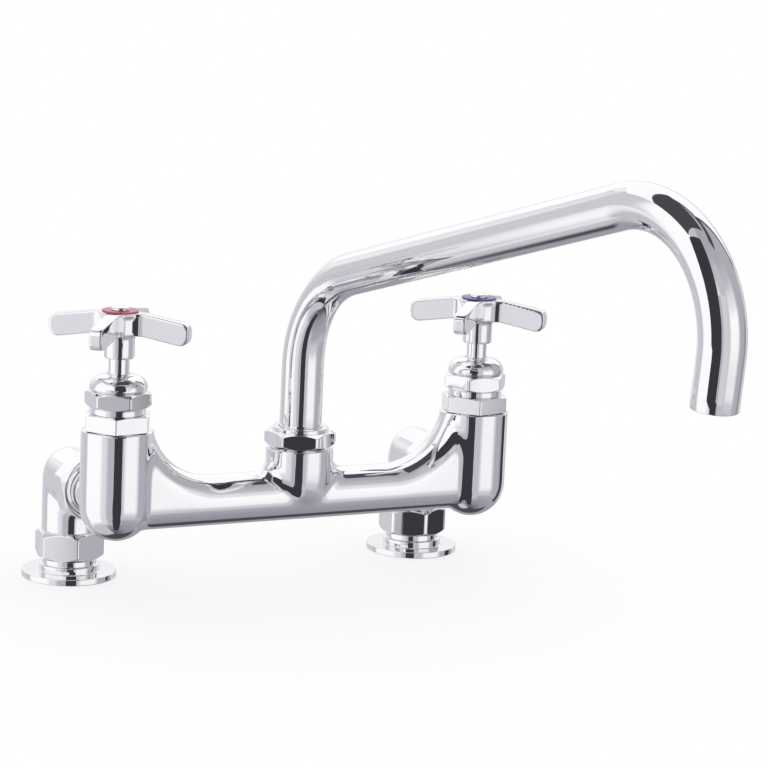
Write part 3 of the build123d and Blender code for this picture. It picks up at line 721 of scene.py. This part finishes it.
SPOUT_YAW = 11.4 - 90        # from +X, so 11.4 towards the cold side
SPOUT_RADIUS = 11.0
SPOUT_WALL = 1.2
SPOUT_FOOT = 86.7
SPOUT_REACH = 304.8          # from the axis of the riser to the middle of the outlet
RISER_LENGTH = 35.0
NEAR_BEND = 56.5             # radii of the bends
FAR_BEND = 54.3
SLOPE = math.radians(16.8)   # of the incline
LEAN = math.radians(4.8)     # the outlet points back by this
OUTLET_LENGTH = 23.4         # of the straight end
NEAR_SQUEEZE = 0.12          # how much narrower a bend's middle is, as a share
FAR_SQUEEZE = 0.06


def run_on(mesh, circle, way, steps):
    """Lengthens the tube along a straight run."""
    for _ in range(steps):
        circle = points_of(bmesh.ops.extrude_edge_only(mesh, edges=ring_edges(circle))["geom"])
        move(mesh, Vector(way) / steps, circle)
    return circle


def bend_on(mesh, circle, centre, angle, squeeze, steps):
    """Bends the tube downwards in its own plane, and narrows it across the bend towards the middle."""
    before = 1.0
    for step in range(1, steps + 1):
        swept = bmesh.ops.spin(mesh, geom=circle + ring_edges(circle), cent=centre, axis=(0, 1, 0),
                               angle=angle / steps, steps=1, use_merge=False)["geom_last"]
        circle = points_of(swept)
        middle = sum((v.co for v in circle), Vector()) / len(circle)
        outward = (middle - Vector(centre)).normalized()
        now = 1 - squeeze * math.sin(math.pi * step / steps) ** 2
        tilt = outward.to_track_quat("X", "Y").to_matrix().to_4x4()
        space = (Matrix.Translation(middle) @ tilt).inverted()
        bmesh.ops.scale(mesh, vec=(now / before, 1, 1), space=space, verts=circle)
        before = now
    return circle


spout = bmesh.new()
circle = bmesh.ops.create_circle(spout, segments=96, radius=SPOUT_RADIUS, cap_ends=False)["verts"]
move(spout, (0, 0, SPOUT_FOOT), circle)
circle = run_on(spout, circle, (0, 0, RISER_LENGTH), 3)
near = Vector((NEAR_BEND, 0, SPOUT_FOOT + RISER_LENGTH))
circle = bend_on(spout, circle, near, math.pi / 2 - SLOPE, NEAR_SQUEEZE, 48)
uphill = Vector((math.cos(SLOPE), 0, math.sin(SLOPE)))
upright = Vector((-math.sin(SLOPE), 0, math.cos(SLOPE)))
bend_end = near + NEAR_BEND * upright
beyond = FAR_BEND * (math.sin(SLOPE) + math.cos(LEAN)) - OUTLET_LENGTH * math.sin(LEAN)
incline = (SPOUT_REACH - bend_end.x - beyond) / math.cos(SLOPE) * uphill
circle = run_on(spout, circle, incline, 6)
far = bend_end + incline - FAR_BEND * upright
circle = bend_on(spout, circle, far, math.pi / 2 + SLOPE + LEAN, FAR_SQUEEZE, 64)
outlet = (-OUTLET_LENGTH * math.sin(LEAN), 0, -OUTLET_LENGTH * math.cos(LEAN))
run_on(spout, circle, outlet, 3)
rotate(spout, SPOUT_YAW, "Z")
move(spout, (0, VALVE_Y, 0))
tube = finish_piece("spout_tube_chrome", spout, "spout", "spout_tube")
wall = tube.modifiers.new("tube_wall", "SOLIDIFY")
wall.thickness = SPOUT_WALL / 1000
wall.offset = -1
lip = tube.modifiers.new("deburred_end", "BEVEL")
lip.width = 0.4 / 1000
lip.segments = 3
lip.limit_method = "ANGLE"
lip.angle_limit = math.radians(60)


# Spout nut
# Holds the spout down in the boss: a low brass hexagon, turned off at the corners, with a round ring
# above it that closes round the tube.

SPOUT_NUT_FLATS = 33.0
SPOUT_NUT_GAP = 0.8          # above the boss
SPOUT_NUT_HEX_TOP = 87.5
SPOUT_NUT_TOP = 89.5
SPOUT_RING_RADIUS = 14.6
SPOUT_RING_FOOT = 87.0       # inside the hexagon, and further down at the hole
SPOUT_HOLE_FOOT = 85.0
SPOUT_HOLE = 11.15

nut = hexagon_nut(bmesh.new(), SPOUT_NUT_FLATS, BOSS_TOP + SPOUT_NUT_GAP, SPOUT_NUT_HEX_TOP, turn=35.0,
                  chamfer=32, corner_round=2.5, holes=(13.3, 11.2), lip=1.0)
turned(nut, [
    (SPOUT_HOLE, SPOUT_HOLE_FOOT), (SPOUT_RING_RADIUS, SPOUT_RING_FOOT), (SPOUT_RING_RADIUS, SPOUT_NUT_TOP),
    (SPOUT_HOLE, SPOUT_NUT_TOP),
], rounding=0.5)
move(nut, (0, VALVE_Y, 0))
finish_piece("spout_nut_chrome", nut, "faucet_body", "spout_nut", crisp=True)


# Inner pieces
# What the open ends and a taken-apart valve show: machined brass, spring steel, rubber, pressed
# fibre and PTFE. Their meshes are the CAD ones, and only the finish is made here.

def inner_finish(name, light, dark, metallic, roughness, size, stretch, bump):
    """Two tones in marks of that size, drawn out or pressed flat along Z; size and bump are in metres."""
    material, tree = new_material(name)
    place = add(tree, "ShaderNodeTexCoord").outputs["Object"]
    lay = add(tree, "ShaderNodeMapping", {"Vector": place, "Scale": (1, 1, stretch)})
    marks = noise(tree, lay.outputs["Vector"], size, detail=4.0, roughness=0.65)
    rough = add(tree, "ShaderNodeMapRange", {
        "Value": marks, "To Min": roughness * 0.8, "To Max": roughness * 1.25,
    })
    skin = add(tree, "ShaderNodeBump", {"Height": marks, "Strength": 0.4, "Distance": bump})
    shader = add(tree, "ShaderNodeBsdfPrincipled", {
        "Base Color": mixed(tree, marks, linear(light), linear(dark)), "Metallic": metallic,
        "Roughness": rough.outputs["Result"], "Normal": skin.outputs["Normal"],
    })
    add(tree, "ShaderNodeOutputMaterial", {"Surface": shader.outputs["BSDF"]})
    return material


INNER = {
    "plain_brass": inner_finish("machined_brass", "#c9a35a", "#b08a45", metallic=1.0, roughness=0.28,
                                size=0.0022, stretch=8.0, bump=0.00003),
    "spring_steel": inner_finish("drawn_spring_steel", "#a4a5a8", "#8b8c90", metallic=1.0, roughness=0.32,
                                 size=0.0012, stretch=1.0, bump=0.00002),
    "black_rubber": inner_finish("moulded_nitrile_rubber", "#1d1d1e", "#28282a", metallic=0.0,
                                 roughness=0.55, size=0.0010, stretch=1.0, bump=0.00004),
    "fibre": inner_finish("pressed_red_fibre", "#8a4a38", "#6f3427", metallic=0.0, roughness=0.75,
                          size=0.0007, stretch=3.0, bump=0.00008),
    "ptfe": inner_finish("white_ptfe", "#e6e5e0", "#d9d8d2", metallic=0.0, roughness=0.4,
                         size=0.0030, stretch=1.0, bump=0.00003),
}
for part in frame["record"]["subparts"]:
    if part["material_slot"] in INNER:
        for place in frame["nodes"][part["node"]].material_slots:
            place.material = INNER[part["material_slot"]]


# Counter
# A round sheet of matt white laminate that takes the faucet's soft shadow and turns into plain white
# light further out, so that it has no edge. The chrome looks through it at the studio below.

COUNTER_RADIUS = 30000.0
SHADOW_NEAR = 0.16           # metres from the middle of the counter: the shadow is at its fullest
SHADOW_FAR = 0.36            # and here it is gone
NEAR_WHITE = 0.7             # share of plain white that lightens the shadow where it is fullest

material, tree = new_material("matt_white_laminate")
place = add(tree, "ShaderNodeTexCoord").outputs["Object"]
away = add(tree, "ShaderNodeVectorMath", {0: place}, operation="LENGTH")
far = add(tree, "ShaderNodeMapRange", {
    "Value": away.outputs["Value"], "From Min": SHADOW_NEAR, "From Max": SHADOW_FAR, "To Min": NEAR_WHITE,
}, interpolation_type="SMOOTHSTEP")
speck = noise(tree, place, 0.002, detail=2.0)
matt = add(tree, "ShaderNodeBsdfPrincipled", {
    "Base Color": mixed(tree, speck, linear("#ffffff"), linear("#fdfdfd")), "Roughness": 0.9,
    "Specular IOR Level": 0.0,
})
white = add(tree, "ShaderNodeEmission", {"Color": linear("#ffffff"), "Strength": 1.0})
paled = add(tree, "ShaderNodeMixShader", {
    0: far.outputs["Result"], 1: matt.outputs["BSDF"], 2: white.outputs["Emission"],
})
ray = add(tree, "ShaderNodeLightPath")
clear = add(tree, "ShaderNodeBsdfTransparent")
seen = add(tree, "ShaderNodeMixShader", {
    0: ray.outputs["Is Glossy Ray"], 1: paled.outputs["Shader"], 2: clear.outputs["BSDF"],
})
add(tree, "ShaderNodeOutputMaterial", {"Surface": seen.outputs["Shader"]})

floor = bmesh.new()
bmesh.ops.create_circle(floor, segments=128, radius=COUNTER_RADIUS, cap_ends=True)
placed("counter", floor, material)


# Studio
# The room that the chrome reflects: a pale ramp from floor to ceiling, and on it the walls, the
# counter and the softboxes as patches of bearing and elevation. All else sees plain white light.

SEAM = 160.0                 # bearings run from 180 less to 180 more than this; 0 is -Y and 90 is +X
STUDIO_STRENGTH = 1.14
ROOM = {-90: "#55525a", -60: "#9895a0", -40: "#a6a3ab", -26: "#cccad0", -14: "#f6f6f7", 0: "#fbfbfb",
        12: "#ffffff", 24: "#e2e1e5", 40: "#bcbac0", 56: "#aaa8af", 90: "#a6a4ab"}

world = bpy.data.worlds.new("studio")
bpy.context.scene.world = world
world.use_nodes = True
world.node_tree.nodes.clear()
tree = world.node_tree
way = add(tree, "ShaderNodeTexCoord").outputs["Generated"]
part = add(tree, "ShaderNodeSeparateXYZ", {"Vector": way})
turned_way = add(tree, "ShaderNodeVectorRotate", {"Vector": way, "Angle": math.radians(-SEAM)},
                 rotation_type="Z_AXIS")
flat = add(tree, "ShaderNodeSeparateXYZ", {"Vector": turned_way.outputs["Vector"]})
back = add(tree, "ShaderNodeMath", {0: flat.outputs["Y"], 1: -1.0}, operation="MULTIPLY")
round_it = add(tree, "ShaderNodeMath", {0: flat.outputs["X"], 1: back.outputs[0]}, operation="ARCTAN2")
bearing = add(tree, "ShaderNodeMath", {0: round_it.outputs[0], 1: math.degrees(1), 2: SEAM},
              operation="MULTIPLY_ADD").outputs[0]
up = add(tree, "ShaderNodeMath", {0: part.outputs["Z"]}, operation="ARCSINE")
height = add(tree, "ShaderNodeMath", {0: up.outputs[0], 1: math.degrees(1)},
             operation="MULTIPLY").outputs[0]

share = add(tree, "ShaderNodeMapRange", {"Value": height, "From Min": -90.0, "From Max": 90.0})
room = add(tree, "ShaderNodeValToRGB", {"Fac": share.outputs["Result"]})
room.color_ramp.interpolation = "EASE"
ramp = room.color_ramp.elements
while len(ramp) < len(ROOM):
    ramp.new(0.5)
for stop, degrees in zip(ramp, ROOM):
    stop.position = (degrees + 90) / 180
for stop, code in zip(ramp, ROOM.values()):
    stop.color = linear(code)
scene_light = room.outputs["Color"]


def band(value, low, high, soft):
    """1 between two limits and 0 outside them, with soft edges."""
    rise = add(tree, "ShaderNodeMapRange", {
        "Value": value, "From Min": low - soft, "From Max": low + soft,
    }, interpolation_type="SMOOTHSTEP")
    fall = add(tree, "ShaderNodeMapRange", {
        "Value": value, "From Min": high + soft, "From Max": high - soft,
    }, interpolation_type="SMOOTHSTEP")
    return add(tree, "ShaderNodeMath", {0: rise.outputs["Result"], 1: fall.outputs["Result"]},
               operation="MULTIPLY").outputs[0]


for bearings, heights, soft_side, soft_edge, code in (
    ((203, 300), (-92, -42), 9, 8, "#c4c2c8"),      # counter on the left
    ((220, 292), (-46, -8), 8, 7, "#fdfdfd"),       # its near part, lit by the left softbox
    ((188, 216), (-42, 11), 5, 12, "#cccacf"),      # wall between the two softboxes
    ((214, 232), (-42, 26), 5, 5, "#c3c1c8"),       # its darker part beside the left softbox
    ((216, 250), (-4, 52), 6, 3, "#cdcbd1"),        # dim side of the left softbox
    ((200, 318), (49, 92), 5, 3, "#c2c0c6"),        # ceiling over the left softbox
    ((238, 317), (-14, 49), 5, 2, "#ffffff"),       # left softbox
    ((291, 345), (-52, 6), 8, 7, "#dcdbe0"),        # wall to the left of the camera
    ((310, 345), (-52, 9), 6, 6, "#b5b3ba"),        # its part next to the camera
    ((-25, 5), (-50, 52), 7, 8, "#bfbdc4"),         # wall to the right of the camera
    ((51, 108), (-32, 56), 9, 8, "#aeacb3"),        # wall on the right
    ((83, 102), (-44, 2), 6, 6, "#96949b"),         # its far end
    ((112, 190), (-24, 14), 4, 6, "#c6c4ca"),       # wall under the rear softbox
    ((147, 190), (-12, 17), 6, 4, "#eeeef0"),       # its middle, lit by that softbox
    ((112, 190), (-48, -24), 8, 6, "#9a98a0"),      # far side of the counter
    ((95, 194), (-95, -54), 8, 4, "#4a474e"),       # its back edge
    ((45, 212), (58, 67), 2, 0.8, "#4a484e"),       # frame of the overhead softbox
    ((104, 112), (14, 66), 0.8, 1, "#4a484e"),      # frame of the rear softbox
    ((110, 194), (16, 61), 1.0, 1.5, "#ffffff"),    # rear softbox
    ((190, 210), (30, 61), 5, 2, "#f0f0f2"),        # its dim side
):
    inside = add(tree, "ShaderNodeMath", {
        0: band(bearing, *bearings, soft_side), 1: band(height, *heights, soft_edge),
    }, operation="MULTIPLY")
    scene_light = mixed(tree, inside.outputs[0], scene_light, linear(code))

ray = add(tree, "ShaderNodeLightPath")
studio = add(tree, "ShaderNodeBackground", {"Color": scene_light, "Strength": STUDIO_STRENGTH})
plain = add(tree, "ShaderNodeBackground", {"Color": linear("#ffffff"), "Strength": 1.0})
glow = add(tree, "ShaderNodeMixShader", {
    0: ray.outputs["Is Glossy Ray"], 1: plain.outputs["Background"], 2: studio.outputs["Background"],
})
add(tree, "ShaderNodeOutputWorld", {"Surface": glow.outputs["Shader"]})


# Cards and softboxes
# Real sheets near the faucet, which the curves reflect as sharp shapes: black felt cards for the dark
# stripe, bounce paper that breaks it on the outlet, and a grey flag and white silk overhead.

CEILING = 725.0


def lit_sheet(name, code):
    """A sheet in the studio's light; it is seen in the chrome only, so it shines with an even colour."""
    material, tree = new_material(name)
    sheet = add(tree, "ShaderNodeEmission", {"Color": linear(code), "Strength": STUDIO_STRENGTH})
    add(tree, "ShaderNodeOutputMaterial", {"Surface": sheet.outputs["Emission"]})
    return material


def panel(name, material, start, corners, across=(1, 0, 0), up=(0, 0, 1)):
    """A flat sheet that only reflections see; its corners are measured across and up from the start."""
    card = bmesh.new()
    card.faces.new([card.verts.new(Vector(start) + Vector(across) * one + Vector(up) * two)
                    for one, two in corners])
    sheet = placed(name, card, material)
    sheet.visible_camera = False
    sheet.visible_diffuse = False
    sheet.visible_shadow = False
    sheet.visible_transmission = False


def block(left, right, low, high):
    """The corners of an upright rectangle."""
    return [(left, low), (right, low), (right, high), (left, high)]


BLACK_FELT = lit_sheet("black_felt", "#39363d")
GREY_FELT = lit_sheet("grey_felt", "#48454c")
SILK = lit_sheet("white_softbox_silk", "#ffffff")
PAPER = lit_sheet("grey_bounce_paper", "#b2afb8")
PALE_PAPER = lit_sheet("pale_bounce_paper", "#d0ced5")
panel("middle_card", BLACK_FELT, (-427, -672, 0), [
    (-18, -2600), (480, -2600), (306, -180), (306, 70), (0, 70), (0, -90), (-18, -110),
], across=(0.995, -0.101, 0))
panel("near_card", BLACK_FELT, (-246, -444, 0), [
    (0, 62), (191, 62), (191, 105), (227, 112), (227, 620), (-100, 620), (-100, 130), (0, 130),
], across=(0.979, -0.204, 0))
panel("side_card", BLACK_FELT, (300, 0, 0), block(-82, -20, -110, 60), across=(0, 1, 0))
panel("bounce_card", PAPER, (4, -450, 0), block(0, 16, 125, 250))
panel("pale_bounce_card", PALE_PAPER, (20, -450, 0), block(0, 36, 125, 250))
panel("ceiling_flag", GREY_FELT, (0, 0, CEILING), block(-400, 190, -435, -60), up=(0, 1, 0))
panel("overhead_softbox", SILK, (0, 0, CEILING), block(-400, 420, -60, 255), up=(0, 1, 0))


# Camera
# A long lens, a little above the handles and to the left, as the photograph was taken. The place is
# in metres, and the lens and its sensor are in millimetres.

LENS = 133.96
SENSOR = 36.0
CAMERA_PLACE = (-0.60673, -1.39266, 0.39646)
CAMERA_BEARING = -26.26
CAMERA_DIP = 10.99
CAMERA_ROLL = 2.51

lens = bpy.data.cameras.new("camera")
lens.lens = LENS
lens.sensor_width = SENSOR
lens.sensor_fit = "HORIZONTAL"
camera = bpy.data.objects.new("camera", lens)
camera.matrix_world = (Matrix.Translation(CAMERA_PLACE)
                       @ Matrix.Rotation(math.radians(CAMERA_BEARING), 4, "Z")
                       @ Matrix.Rotation(math.radians(90 - CAMERA_DIP), 4, "X")
                       @ Matrix.Rotation(math.radians(CAMERA_ROLL), 4, "Z"))
bpy.context.scene.collection.objects.link(camera)
bpy.context.scene.camera = camera
bpy.context.scene.view_settings.view_transform = "Standard"
